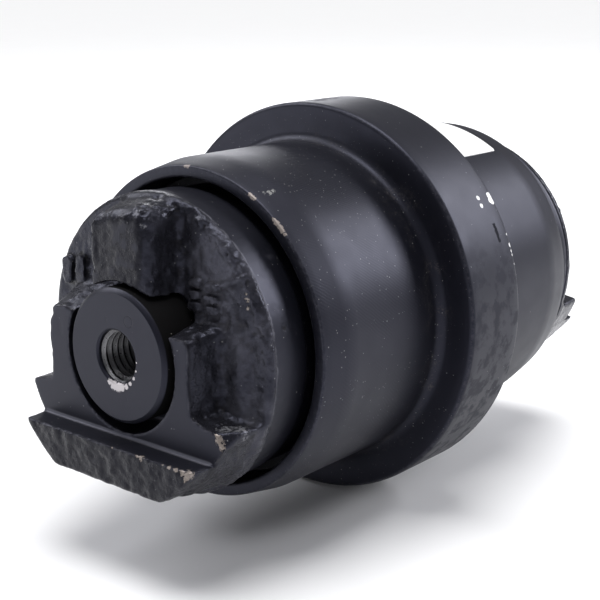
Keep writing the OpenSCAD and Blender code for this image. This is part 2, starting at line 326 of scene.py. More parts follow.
def foundry_marks(x, z, d):
    """Plain uneven bars with round ends, where the casting carries raised marks."""
    close = np.abs(d - CAST_FACE) < 4
    x, z = x.copy(), z.copy()
    at = np.stack([x, z, d], 1)[close]
    x[close] += BAR_WOBBLE * lumps(at, 3.3, 8)
    z[close] += BAR_WOBBLE * lumps(at, 2.7, 9)
    marks = np.full(len(x), 9.0)  # far from any bar
    for cx, cz, half_x, half_z, radius in FOUNDRY_BARS:
        past_x = np.maximum(np.abs(x - cx) - half_x, 0)
        past_z = np.maximum(np.abs(z - cz) - half_z, 0)
        marks = np.minimum(marks, np.hypot(past_x, past_z) - radius)
    return smax(marks, d - CAST_FACE - BAR_HEIGHT, 0.7)


def parting_ridge(x, z, d):
    """A short round ridge at the right of the cast face, rising outwards."""
    along = np.clip((x - RIDGE_X) / RIDGE_LENGTH, 0, 1)
    off_x = x - RIDGE_X - RIDGE_LENGTH * along
    off_z = z - RIDGE_Z - RIDGE_CLIMB * along
    return np.sqrt(off_x**2 + off_z**2 + (d - CAST_FACE + 0.2) ** 2) - RIDGE_R


# Lumps of the cast skin, of its rim and of the corner above the right horn: height, size and seed
SKIN = ((0.28, 6.5, 1), (0.27, 3.1, 2), (0.18, 1.7, 3))
RIM_SKIN = ((0.42, 1.3, 4), (0.28, 2.4, 5))
CRUMBS = ((0.55, 2.4, 6), (0.25, 1.3, 7))


def skin_bumps(p):
    """How far the cast skin lies below the smooth form: everywhere, along the rim, and over the horn."""
    x, z, d = p.T
    r = np.hypot(x, z)
    calm = np.clip((r - 46.0) / 4.0, 0, 1) * np.clip((8.0 - x) / 6.0, 0, 1)
    rim = np.exp(-(((r - 49.5) / 2.5) ** 2)) * (d > CAST_FACE - 4) * (z > 0) * (x > 4)
    above_horn = np.exp(-(((z - 13.5) / 3.2) ** 2)) * (x > 16) * (d < SEAT - 2)
    return (1 - 0.8 * calm) * layered(p, SKIN), rim * layered(p, RIM_SKIN), above_horn * layered(p, CRUMBS)


def raw_casting(p):
    """The collar as cast, before machining: soft edges, fillets, foundry marks and a rough skin."""
    x, z, d = p.T
    draft = np.clip((d - CAST_FACE) / (FOOT_FACE - CAST_FACE), 0, 1)
    outside = np.hypot(x, z) - COLLAR_R - CAST_SKIN - (FOOT_R - COLLAR_R) * draft
    right = np.clip((x + 4.0) / 12.0, 0, 1)
    dome = right * DOME_SLOPE * np.maximum(np.hypot(x, z) - DOME_R, 0)
    face = d + dome - 0.5
    form = smax(outside, d + dome - CAST_FACE - 0.5, 2.2 + 0.8 * right)
    form = smin(form, cast_lug(x, z, d, outside), FILLET)
    lower = smin(cast_horns(x, z, d, outside), cast_tabs(x, z, d, outside), FILLET)
    form = smin(form, smin(lower, cast_foot(z, d, outside), 1.0), FILLET)
    form = smin(form, foundry_marks(x, z, face), 0.9)
    form = smin(form, parting_ridge(x, z, face), 1.6)
    near = np.abs(form) < 1.4
    for bumps in skin_bumps(p[near]):
        form[near] += bumps
    return form


# Dents in a collar: x, z, d, radius, depth
DENTS = (
    (40.5, -28.5, 120.3, 3.2, 0.9),
    (36.0, -28.4, 120.6, 2.2, 0.5),
    (30.0, -28.4, 120.6, 1.5, 0.35),
    (17.0, -28.4, 120.6, 1.6, 0.3),
    (44.0, -19.5, 111.4, 2.0, 0.6),
    (5.0, 51.0, 97.5, 1.6, 1.2),
    (-35.5, 8.0, 111.5, 2.4, 0.9),
    (42.0, 23.6, 95.8, 2.0, 0.5),
    (11.5, 44.0, 110.0, 1.6, 0.4),
)


def machined(p):
    """The machined surfaces, each with its edge rounding: seat and ledge, clearance round the shaft, turned
    outside, skirt and bore."""
    x, z, d = p.T
    r = np.hypot(x, z)
    return (
        (smin(d - SEAT, z - LEDGE_Z, 0.9), 0.5),
        (smin(clearance_of(x, z), d - CAST_FACE, 1.0), 0.6),
        (smin(r - COLLAR_R, TURNED_END - d, 0.2), 0.4),
        (smin(r - SKIRT_R, SHELL_HALF - 0.3 - d, 0.2), 0.5),
        (SHAFT_R - r, 0.4),
    )


def collar_field(p):
    """The finished collar: the casting with its machined surfaces, dents, seal groove and pin hole."""
    x, z, d = p.T
    r = np.hypot(x, z)
    form = raw_casting(p)
    for dx, dz, dd, radius, depth in DENTS:
        form = form + depth * np.exp(-((x - dx) ** 2 + (z - dz) ** 2 + (d - dd) ** 2) / radius**2)
    for cut, edge in machined(p):
        form = smax(form, cut, edge)
    flat_below = smin(FOOT_Z - z, d - FLAT_START, 2.0)
    groove = np.minimum(O_RING_GROOVE_R - r, O_RING_GROOVE_HALF - np.abs(d - O_RING_AT))
    pin_hole = np.minimum(PIN_R - np.hypot(x, d - PIN_AT), PIN_ROOT - z)
    form = smax(form, flat_below, 1.2)
    form = smax(form, groove, 0.2)
    form = smax(form, pin_hole, 0.5)
    return np.maximum(form, CAST_SPLIT - d)


def make_collars(material):
    """The two collars: one casting, set at either end, closed by its turned inner part."""
    reach, step = COLLAR_R + 2.0, CAST_STEP * 1
    low, high = (-reach, -reach, CAST_SPLIT - 1), (reach, reach, FOOT_FACE + 1.5)
    form, quads = surface_of(collar_field, low, high, step)
    normals = slopes(collar_field, form, 0.3)
    bend = roundness(form, quads, normals)
    cut = np.max([field for field, _ in machined(form)], axis=0)
    rough = np.clip(-(cut + 0.05) / 0.25, 0, 1)
    back = rounded(
        [
            (SHAFT_R, HUB_FACE, 0.5),
            (HUB_R, HUB_FACE, 0.5),
            (HUB_R, CAVITY_FLOOR, 1.0),
            (CAVITY_R, CAVITY_FLOOR, 1.5),
            (CAVITY_R, SKIRT_END, 0.5),
            (SKIRT_R, SKIRT_END, 0.5),
            (SKIRT_R, CAST_SPLIT + 0.4, 0),
            (SHAFT_R, CAST_SPLIT + 0.4, 0),
        ]
    )
    ring, ring_quads = turned(refined(back, 4.0) * (1, -1), 192)
    ring = np.stack([ring[:, 0], ring[:, 2], -ring[:, 1]], 1)
    vertices = np.concatenate([form, ring])
    faces = np.concatenate([quads, ring_quads + len(form)])
    plain = np.zeros(len(ring))
    for end in ("near", "far"):
        name, node, placed = end + "_collar_casting", end + "_collar", to_row_frame(vertices, end)
        piece = new_piece(name, placed, faces, "axle_group", node, 50)
        set_attribute(piece, "rough", np.concatenate([rough, plain]))
        set_attribute(piece, "edge", np.concatenate([bend, plain]))
        piece.data.materials.append(material)


# ---- roller shell ----


def shell_outline():
    """The shell's section, the same on both sides of the flange."""
    half = [
        (FLANGE_R, FLANGE_HALF, 1.7),
        (TREAD_R, FLANGE_HALF, 3.6),
        (TREAD_R, BAND_START, 0),
        (RIM_R, SHELL_HALF, 0.9),
        (RIM_BORE_R, SHELL_HALF, 1.1),
        (RIM_BORE_R, SEAL_FACE, 0.8),
        (CAVITY_R, SEAL_FACE, 0.5),
        (CAVITY_R, BUSH_SEAT, 1.0),
        (BUSH_R, BUSH_SEAT, 0.6),
        (BUSH_R, BUSH_IN, 0.3),
        (RESERVOIR_R, BUSH_IN, 0.5),
    ]
    return rounded(half + [(r, -y, k) for r, y, k in reversed(half)])


def near_corner(r, y, corners, reach):
    """1 at a corner of the section, fading out over about reach."""
    return max(math.exp(-((r - cr) ** 2 + (abs(y) - cy) ** 2) / reach**2) for cr, cy in corners)


def make_shell(material):
    """The turned shell, which knows where its edges wear and where dust gathers by the flange."""
    outline = refined(shell_outline(), 3.5)
    vertices, faces = turned(outline, 384)
    r, y = np.hypot(vertices[:, 0], vertices[:, 2]), vertices[:, 1]
    edges = (
        (FLANGE_R - 0.5, FLANGE_HALF - 0.5),
        (RIM_R - 0.2, SHELL_HALF - 0.2),
        (RIM_BORE_R + 0.3, SHELL_HALF - 0.3),
    )
    fillet = ((TREAD_R, FLANGE_HALF + 3.0),)
    key, back = np.unique(np.round(np.stack([r, y], 1), 3), axis=0, return_inverse=True)
    wear = np.array([near_corner(a, b, edges, 0.9) for a, b in key])[back.ravel()]
    dust = np.array([near_corner(a, b, fillet, 5.0) for a, b in key])[back.ravel()]
    piece = new_piece("roller_shell_turned", vertices, faces, "roller", "roller_shell", 40)
    set_attribute(piece, "edge", wear)
    set_attribute(piece, "dust", dust)
    piece.data.materials.append(material)


# ---- threads ----


def make_thread(end, material):
    """The thread ridge of a bolt hole: a right-hand helix with a trapezoid section."""
    per_turn = 48
    turns = (HOLE_MOUTH - HOLE_BOTTOM) / THREAD_PITCH - 1
    k = np.arange(int(turns * per_turn) + 1)
    angle = 2 * math.pi * k / per_turn
    depth = HOLE_MOUTH - 0.9 - THREAD_PITCH * k / per_turn
    fade = np.clip(np.minimum(k, k[::-1]) / (0.5 * per_turn), 0.15, 1)  # the ends run out over half a turn
    crest = THREAD_R + 0.1 - (THREAD_R + 0.1 - THREAD_MINOR_R) * fade
    section = ((0, -1.1), (1, -0.2), (1, 0.2), (0, 1.1))
    rows = []
    for inward, shift in section:
        r = crest if inward else np.full(len(k), THREAD_R + 0.15)
        rows.append(np.stack([r * np.cos(-angle), r * np.sin(-angle), depth + shift], 1))
    vertices = np.stack(rows, 1).reshape(-1, 3)
    faces = ring_faces(len(k), 4, closed_around=False).tolist()
    faces += [[3, 2, 1, 0], [4 * len(k) - 4 + i for i in range(4)]]
    piece = new_object(end + "_bolt_thread", to_row_frame(vertices, end), faces, 35)
    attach(piece, "axle_group")
    piece.data.materials.append(material)


# ---- label ----


def make_label(material):
    """A blank film on the far tread, with round corners, lying a hair above the paint."""
    across, along = 60, 40
    angles = np.linspace(math.radians(LABEL_FROM), math.radians(LABEL_TO), across)
    span = math.radians(LABEL_TO - LABEL_FROM) * TREAD_R
    half_s, half_y, corner = span / 2, (LABEL_OUT - LABEL_IN) / 2, 0.7
    vertices, faces = [], []
    for layer in (LABEL_T, -0.05):
        for i, a in enumerate(angles):
            s = abs(span * (i / (across - 1)) - half_s)
            over = max(s - (half_s - corner), 0)
            trim = corner - math.sqrt(max(corner**2 - over**2, 0))
            for y in np.linspace(-half_y + trim, half_y - trim, along):
                lift = 0.12 * max(s / half_s, abs(y) / half_y) ** 12 if layer > 0 else 0
                r = TREAD_R + layer + lift
                vertices.append((r * math.cos(a), (LABEL_IN + LABEL_OUT) / 2 + y, r * math.sin(a)))
    number = lambda layer, i, j: (layer * across + i) * along + j
    for i in range(across - 1):
        for j in range(along - 1):
            top = [number(0, i, j), number(0, i + 1, j), number(0, i + 1, j + 1), number(0, i, j + 1)]
            faces += [top, [number(1, 0, 0) + v for v in top[::-1]]]
    rim = [(i, 0) for i in range(across)] + [(across - 1, j) for j in range(1, along)]
    rim += [(i, along - 1) for i in range(across - 2, -1, -1)] + [(0, j) for j in range(along - 2, 0, -1)]
    for (a, b), (c, d) in zip(rim, rim[1:] + rim[:1]):
        faces.append([number(0, a, b), number(1, a, b), number(1, c, d), number(0, c, d)])
    piece = new_object("blank_label", vertices, faces, 35)
    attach(piece, "roller")
    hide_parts("label")
    piece.data.materials.append(material)


# ---- materials ----


class Look:
    """A procedural material, built node by node in millimetres of the object's own space."""

    def __init__(self, name, tint=(1.0, 1.0, 1.0), gloss=0.5):
        self.material = bpy.data.materials.new(name)
        self.material.use_nodes = True
        self.nodes, self.links = self.material.node_tree.nodes, self.material.node_tree.links
        self.shader = self.nodes["Principled BSDF"]
        self.shader.inputs["Specular Tint"].default_value = (*tint, 1.0)
        self.shader.inputs["Specular IOR Level"].default_value = gloss
        coordinates = self.nodes.new("ShaderNodeTexCoord")
        scale = self.nodes.new("ShaderNodeVectorMath")
        scale.operation = "SCALE"
        scale.inputs["Scale"].default_value = 1000
        self.links.new(coordinates.outputs["Object"], scale.inputs[0])
        self.mm = scale.outputs[0]

    def put(self, socket, value):
        """Links a socket, or sets a constant."""
        if isinstance(value, bpy.types.NodeSocket):
            self.links.new(value, socket)
        else:
            socket.default_value = value

    def math(self, operation, *values):
        """A calculation with numbers or sockets, named by its operation."""
        node = self.nodes.new("ShaderNodeMath")
        node.operation = operation
        for socket, value in zip(node.inputs, values):
            self.put(socket, value)
        return node.outputs[0]

    def times(self, a, b):
        """The product, which also serves as "and" for masks."""
        return self.math("MULTIPLY", a, b)

    def places(self):
        """The x, y and z of the point, in mm."""
        split = self.nodes.new("ShaderNodeSeparateXYZ")
        self.links.new(self.mm, split.inputs[0])
        return split.outputs["X"], split.outputs["Y"], split.outputs["Z"]

    def noise(self, per_mm, detail=2.0, rough=0.5, at=None):
        """Noise with that many cells a mm; at moves it, so that two noises of a kind differ."""
        node = self.nodes.new("ShaderNodeTexNoise")
        self.links.new(self.mm, node.inputs["Vector"])
        if at is not None:
            shift = self.nodes.new("ShaderNodeVectorMath")
            self.links.new(self.mm, shift.inputs[0])
            shift.inputs[1].default_value = (at, at * 1.7, -at)
            self.links.new(shift.outputs[0], node.inputs["Vector"])
        node.inputs["Scale"].default_value = per_mm
        node.inputs["Detail"].default_value = detail
        node.inputs["Roughness"].default_value = rough
        return node.outputs["Fac"]

    def step(self, value, low, high):
        """0 at low, 1 at high, with a smooth change between; low may be the larger."""
        node = self.nodes.new("ShaderNodeMapRange")
        node.interpolation_type = "SMOOTHSTEP"
        self.put(node.inputs["Value"], value)
        node.inputs["From Min"].default_value, node.inputs["From Max"].default_value = low, high
        return node.outputs[0]

    def blend(self, factor, a, b):
        """A colour from a to b."""
        node = self.nodes.new("ShaderNodeMix")
        node.data_type = "RGBA"
        self.put(node.inputs[0], factor)
        for socket, value in ((node.inputs[6], a), (node.inputs[7], b)):
            self.put(socket, value if isinstance(value, bpy.types.NodeSocket) else (*value, 1.0))
        return node.outputs[2]

    def between(self, factor, a, b):
        """A number from a to b."""
        node = self.nodes.new("ShaderNodeMix")
        for socket, value in zip((node.inputs[0], node.inputs[2], node.inputs[3]), (factor, a, b)):
            self.put(socket, value)
        return node.outputs[0]

    def attribute(self, name):
        """A number kept on the piece's vertices."""
        node = self.nodes.new("ShaderNodeAttribute")
        node.attribute_name = name
        return node.outputs["Fac"]

    def specks(self, every_mm, radius_mm, share):
        """1 inside small round specks: about one a cell of every_mm, in that share of the cells."""
        node = self.nodes.new("ShaderNodeTexVoronoi")
        self.links.new(self.mm, node.inputs["Vector"])
        node.inputs["Scale"].default_value = 1 / every_mm
        pick = self.nodes.new("ShaderNodeSeparateColor")
        self.links.new(node.outputs["Color"], pick.inputs[0])
        size = self.times(pick.outputs["Green"], radius_mm / every_mm)
        inside = self.math("LESS_THAN", node.outputs["Distance"], size)
        return self.times(inside, self.math("LESS_THAN", pick.outputs["Red"], share))

    def distance(self, point):
        """How far the point is from a place, in mm."""
        node = self.nodes.new("ShaderNodeVectorMath")
        node.operation = "DISTANCE"
        self.links.new(self.mm, node.inputs[0])
        node.inputs[1].default_value = point
        return node.outputs["Value"]

    def spots(self, places, ragged=0.45):
        """1 inside ragged spots. Each place is x, y, z and radius in mm."""
        total = None
        for *centre, radius in places:
            near = self.math("MULTIPLY_ADD", self.distance(centre), -1 / radius, 1.0)
            total = near if total is None else self.math("MAXIMUM", total, near)
        torn = self.math("MULTIPLY_ADD", self.noise(0.9, 5, 0.75), ragged * 5, -ragged * 2.5)
        return self.step(self.math("ADD", total, torn), 0.0, 0.08)

    def ring(self, centre, radius, width):
        """1 on a thin ring round a point, in mm."""
        off = self.math("ABSOLUTE", self.math("SUBTRACT", self.distance(centre), radius))
        return self.step(off, width, 0.0)

    def tool_rings(self, scale, distortion=0.0):
        """Waves round the Y axis, as a lathe tool leaves them."""
        marks = self.nodes.new("ShaderNodeTexWave")
        marks.wave_type, marks.rings_direction = "RINGS", "Y"
        marks.inputs["Scale"].default_value = scale
        marks.inputs["Distortion"].default_value = distortion
        self.links.new(self.mm, marks.inputs["Vector"])
        return marks.outputs["Fac"]

    def tint(self, colour):
        """Colours the gloss, which a node drives."""
        self.put(self.shader.inputs["Specular Tint"], colour)

    def bump(self, height_mm):
        """Makes the surface look as uneven as that height."""
        node = self.nodes.new("ShaderNodeBump")
        node.inputs["Distance"].default_value = MM
        node.inputs["Strength"].default_value = 1.0
        self.put(node.inputs["Height"], height_mm)
        self.links.new(node.outputs[0], self.shader.inputs["Normal"])

    def finish(self, colour, roughness, metallic=None):
        """Sets the paint itself, and gives the finished material."""
        self.put(self.shader.inputs["Base Color"], colour)
        self.put(self.shader.inputs["Roughness"], roughness)
        if metallic is not None:
            self.put(self.shader.inputs["Metallic"], metallic)
        return self.material


CHATTER_SLANT, CHATTER_PITCH = 38.5, 1.05  # degrees from a line round the roller, and mm
CHATTER_HEIGHT, SHELL_PEEL, CAST_PEEL, SHAFT_PEEL = 0.0065, 0.010, 0.014, 0.012  # heights in mm
COARSE_SKIN, FINE_SKIN, SPOT_HEIGHT = 0.27, 0.08, 0.06
RIM_CHIP_DEPTH, CHIP_DEPTH, STAMP_DEPTH = 0.15, 0.12, 0.08
GLOSS = 0.36  # specular level of the paint
COOL = (0.72, 0.74, 1.0)  # tint of the paint's gloss
CAST_COOL = (0.50, 0.52, 0.72)  # the same on the cast skin
SHADED_GLOSS = (0.12, 0.12, 0.15)  # the same, much darker: painted shade in recesses and crevices, on the shaft's sides and on the cast fronts
PAINT = (0.0030, 0.0031, 0.0050)
# CAST_LIT: painted light on the cast face right of the lug
CAST_PAINT, CAST_LIT = (0.010, 0.010, 0.013), (0.050, 0.050, 0.061)
PAINT_WORN = (0.028, 0.028, 0.034)
SCRATCHED = (0.001, 0.001, 0.001)
# SHAFT_SHADE: painted shade on the shaft's sides inside the collar
SHAFT_SHADE = (0.0040, 0.0038, 0.0036)
# ROOT_HIGHLIGHT is a painted highlight in the machined inside corners
DUST, ROOT_HIGHLIGHT = (0.075, 0.068, 0.062), (0.085, 0.085, 0.098)
SPECK, FINE_SPECK, CAST_SPECK, SHAFT_SPECK = (0.15,) * 3, (0.13,) * 3, (0.18,) * 3, (0.14, 0.13, 0.12)
SCUFF = (0.13, 0.13, 0.14)
BARE, BRIGHT_STEEL = (0.24, 0.208, 0.185), (0.50, 0.47, 0.47)
PALE, WHITE = (0.20, 0.20, 0.19), (0.85, 0.85, 0.84)


def ring_place(angle, r, y, radius):
    """A place for a spot, from the angle about the axis."""
    a = math.radians(angle)
    return (r * math.cos(a), y, r * math.sin(a), radius)


# Chips on the near rim: angle and radius. The other marks: angle, distance from the axis, y and radius.
RIM_CHIPS = ((92.2, 0.7), (91, 0.9), (62.3, 0.9), (61.2, 1.0), (60.2, 0.7))
RIM_CHIPS += ((50, 0.8), (48.6, 1.1), (47, 1.1), (45.4, 1.0), (44, 0.7))
SHELL_CHIPS = [ring_place(angle, 58.7, -77.4, radius) for angle, radius in RIM_CHIPS]
SHELL_PALE = [
    ring_place(60.6, 60.9, -72.6, 1.3),
    ring_place(60.1, 60.9, -71.0, 1.3),
    ring_place(60.4, 60.9, -69.0, 0.9),
]
SHELL_WHITE = [
    ring_place(35.0, 75, 13.6, 1.6),
    ring_place(33.6, 75, 13.3, 1.65),
    ring_place(35.1, 75, 6.3, 0.95),
    ring_place(32.8, 75, 6.0, 0.95),
    ring_place(23.3, 74.8, 14.6, 0.6),
    ring_place(20.2, 74.8, 14.6, 0.95),
    ring_place(18.5, 74.8, 14.6, 0.7),
    ring_place(17.4, 74.8, 14.6, 0.55),
    ring_place(14.8, 74.8, 14.7, 0.45),
]
SHELL_SCRATCH = [ring_place(26.6 - 0.55 * k, 75, 8.5 + 0.1 * (k % 3), 0.85) for k in range(9)]


def shell_look():
    """Satin paint: specks all over, dust by the flange, mottling low on the flange, worn edges and chips,
    and painted shade inside the rim's bore.
    """
    look = Look("satin_black_turned", COOL, GLOSS)
    x, y, z = look.places()
    patches = look.step(look.noise(0.035, 3, 0.6), 0.35, 0.7)
    colour = look.blend(patches, PAINT, tuple(c * 1.35 for c in PAINT))
    smears = look.step(look.noise(0.10, 5, 0.7, at=9), 0.48, 0.72)
    grains = look.step(look.noise(1.1, 4, 0.8, at=4), 0.45, 0.62)
    dust = look.times(look.times(look.attribute("dust"), smears), grains)
    colour = look.blend(look.times(dust, 0.9), colour, DUST)
    colour = look.blend(look.specks(1.4, 0.24, 0.09), colour, SPECK)
    near_face = look.step(y, -15.0, -15.5)
    colour = look.blend(look.times(look.specks(1.15, 0.24, 0.4), near_face), colour, FINE_SPECK)
    edge = look.step(look.attribute("edge"), 0.35, 0.95)
    worn = look.times(edge, look.step(look.noise(0.5, 4, 0.7, at=2), 0.4, 0.62))
    colour = look.blend(look.times(worn, 0.8), colour, PAINT_WORN)
    scratch = look.spots(SHELL_SCRATCH, 0.35)
    colour = look.blend(scratch, colour, SCRATCHED)
    colour = look.blend(look.spots(SHELL_PALE, 0.6), colour, PALE)
    white = look.spots(SHELL_WHITE, 0.22)
    colour = look.blend(white, colour, WHITE)
    bare = look.spots(SHELL_CHIPS, 0.45)
    colour = look.blend(bare, colour, BARE)
    low_right = look.step(look.math("DIVIDE", z, x), 0.50, 0.25)
    on_flange = look.step(look.math("ABSOLUTE", y), 15.5, 15.0)
    blotches = look.step(look.noise(0.16, 4, 0.65, at=5), 0.44, 0.60)
    mottle = look.times(blotches, look.times(low_right, on_flange))
    roughness = look.between(look.noise(0.12, 4, 0.6), 0.38, 0.50)
    roughness = look.between(mottle, roughness, 0.62)
    roughness = look.between(look.math("MAXIMUM", dust, scratch), roughness, 0.85)
    squares = look.math("ADD", look.math("POWER", x, 2.0), look.math("POWER", z, 2.0))
    from_axis = look.math("POWER", squares, 0.5)
    # Inside the rim's bore the gloss is darkened: painted shade
    look.tint(look.blend(look.step(from_axis, 55.0, 54.2), COOL, SHADED_GLOSS))
    look.bump(shell_height(look, white, bare))
    return look.finish(colour, roughness, look.times(bare, 0.3))


def shell_height(look, white, bare):
    """Height in mm: orange peel, slanting tool chatter on the near tread, and the steps at chips."""
    x, y, z = look.places()
    round_it = look.times(look.math("ARCTAN2", z, x), TREAD_R)
    slant = math.radians(CHATTER_SLANT)
    across = look.times(y, math.sin(slant))
    across = look.math("MULTIPLY_ADD", round_it, math.cos(slant), across)
    across = look.math("MULTIPLY_ADD", look.noise(0.15, 2, 0.5, at=7), 1.5, across)
    wave = look.math("SINE", look.times(across, 2 * math.pi / CHATTER_PITCH))
    patch = look.step(look.noise(0.045, 2, 0.5, at=6), 0.42, 0.60)
    near_tread = look.step(y, -20.0, -28.0)
    chatter = look.times(look.times(wave, look.times(patch, near_tread)), CHATTER_HEIGHT)
    peel = look.times(look.noise(1.6, 2, 0.5), SHELL_PEEL)
    lifted = look.math("MULTIPLY_ADD", white, SPOT_HEIGHT, look.times(bare, -RIM_CHIP_DEPTH))
    return look.math("ADD", look.math("ADD", peel, chatter), lifted)


# Marks on the near collar: x, y, z and radius
COLLAR_CHIPS = [
    (41.8, -120.4, -29.6, 2.6),
    (39.0, -120.6, -29.2, 2.4),
    (36.4, -120.6, -28.7, 1.5),
    (33.5, -120.6, -28.5, 1.0),
    (30.5, -120.6, -28.5, 0.9),
    (27.6, -120.6, -28.5, 0.6),
    (17.5, -120.6, -28.6, 1.2),
    (15.8, -120.6, -28.5, 0.8),
    (4.0, -120.6, -28.5, 0.6),
    (43.0, -111.6, -17.8, 1.2),
    (44.1, -111.5, -19.4, 1.5),
    (45.2, -111.3, -21.0, 1.2),
    (38.8, -120.5, -33.4, 0.9),
    (35.2, -120.5, -37.4, 1.3),
    (34.0, -120.5, -38.6, 1.0),
    (32.3, -120.5, -40.4, 0.9),
    (42.0, -96.2, 24.4, 0.8),
    (42.2, -96.2, 22.8, 0.9),
    (42.4, -96.0, 20.0, 0.6),
]
COLLAR_SCUFFS = [
    (42.5, -106.0, -18.5, 3.0),
    (45.0, -103.5, -18.0, 3.0),
    (-8.0, -111.2, 48.6, 1.6),
    (-6.6, -110.8, 49.6, 1.2),
    (10.8, -109.5, 44.5, 1.0),
]


def casting_look():
    """Paint over a rough cast skin, smooth where the casting is machined, with dust, scuffs and chips, and
    painted light and shade: a lighter face right of the lug, lit inside corners, and darkened gloss in
    crevices, inside and on the fronts.
    """
    look = Look("satin_black_cast", COOL, GLOSS)
    x, y, _ = look.places()
    rough_skin, edge = look.attribute("rough"), look.attribute("edge")
    depth = look.math("ABSOLUTE", y)
    to_right = look.times(look.times(x, y), -1 / CAST_FACE)
    patches = look.step(look.noise(0.06, 3, 0.6), 0.35, 0.7)
    # The cast face right of the lug is painted lighter in patches: painted light
    lit_right_face = look.times(look.step(depth, 99.0, 97.5), look.step(to_right, 14.0, 24.0))
    # CAST_PAINT is lighter than the smooth paint: partly the rough skin's own look, partly painted light
    # that lifts the shaded flanks and bases
    skin = look.blend(look.times(lit_right_face, patches), CAST_PAINT, CAST_LIT)
    smooth = look.blend(patches, PAINT, tuple(c * 1.2 for c in PAINT))
    colour = look.blend(rough_skin, smooth, skin)
    grit = look.noise(0.9, 3, 0.65, at=3)
    in_corner = look.step(look.times(edge, -1.0), 0.01, 0.08)
    dust = look.times(in_corner, look.step(grit, 0.4, 0.7))
    colour = look.blend(look.times(dust, 0.15), colour, DUST)
    colour = look.blend(look.specks(1.2, 0.24, 0.14), colour, CAST_SPECK)
    worn = look.times(look.step(edge, 0.03, 0.10), look.step(grit, 0.42, 0.62))
    colour = look.blend(look.times(worn, 0.8), colour, PAINT_WORN)
    # Machined inside corners, as at the ledge's root, are painted lighter: a painted highlight of the fillet
    root = look.times(look.step(edge, -0.010, -0.035), look.math("SUBTRACT", 1.0, rough_skin))
    colour = look.blend(look.times(root, 0.8), colour, ROOT_HIGHLIGHT)
    scuffs = look.times(look.spots(COLLAR_SCUFFS, 0.8), look.step(grit, 0.45, 0.55))
    colour = look.blend(scuffs, colour, SCUFF)
    bare = look.spots(COLLAR_CHIPS, 0.7)
    colour = look.blend(bare, colour, BARE)
    # The lug's and the foot's fronts get a duller gloss, which darkens them: painted shade
    lug_front = look.times(look.step(depth, 110.1, 110.8), look.step(depth, 113.5, 112.5))
    fronts = look.math("MAXIMUM", lug_front, look.step(depth, 119.4, 120.1))
    skin_gloss = look.blend(look.times(fronts, 0.85), CAST_COOL, SHADED_GLOSS)
    # Crevices in the cast skin and the part inside the shell get a darkened gloss: painted shade
    crevice = look.times(look.step(edge, -0.015, -0.07), rough_skin)
    dull = look.math("MAXIMUM", crevice, look.step(depth, 78.5, 76.0))
    look.tint(look.blend(dull, look.blend(rough_skin, COOL, skin_gloss), SHADED_GLOSS))
    roughness = look.between(rough_skin, 0.42, 0.25)
    roughness = look.between(look.step(look.noise(0.2, 4, 0.6), 0.4, 0.8), roughness, 0.44)
    coarse = look.times(look.noise(0.6, 4, 0.55), COARSE_SKIN)
    grainy = look.math("MULTIPLY_ADD", look.noise(2.2, 2, 0.5), FINE_SKIN, coarse)
    peel = look.times(look.noise(1.6, 2, 0.5), CAST_PEEL)
    look.bump(look.math("MULTIPLY_ADD", bare, -CHIP_DEPTH, look.between(rough_skin, peel, grainy)))
    return look.finish(colour, roughness, look.times(bare, 0.3))


def metal_look(name, colour, tint, rough, per_mm=0.5, grain=0.01):
    """A turned or ground metal: colour patches, rings of tool marks and a fine grain."""
    look = Look(name)
    shade = look.blend(look.noise(per_mm * 0.2, 3, 0.6), colour, tint)
    rings = look.times(look.tool_rings(per_mm * 2, 0.6), grain)
    look.bump(look.math("MULTIPLY_ADD", look.noise(per_mm * 4, 2, 0.6), grain, rings))
    roughness = look.between(look.noise(per_mm, 3, 0.6), rough - 0.06, rough + 0.1)
    return look.finish(shade, roughness, 1.0)


# Marks on the near end of the shaft. Chips round the mouth of the hole: x, z and radius
MOUTH_CHIPS = ((-3.4, -9.4, 1.1), (-1.6, -10.2, 1.7), (0.6, -10.4, 1.7), (2.6, -10.0, 1.4), (4.6, -9.2, 1.0))
MOUTH_CHIPS += ((6.4, -7.9, 0.8), (8.2, -5.8, 0.6), (9.4, -3.0, 0.5), (9.8, 0.0, 0.4))
SHAFT_CHIPS = [(x, -113.7, z, radius) for x, z, radius in MOUTH_CHIPS]
SHAFT_NICKS = [
    (-4.0, -113.8, 12.6, 0.6),
    (-4.1, -113.8, 11.6, 0.5),
    (4.6, -113.8, -13.4, 0.45),
    (4.7, -113.8, -14.4, 0.45),
]
SHAFT_RING = (6.7, -113.8, 13.1)  # the middle of a small pressed ring


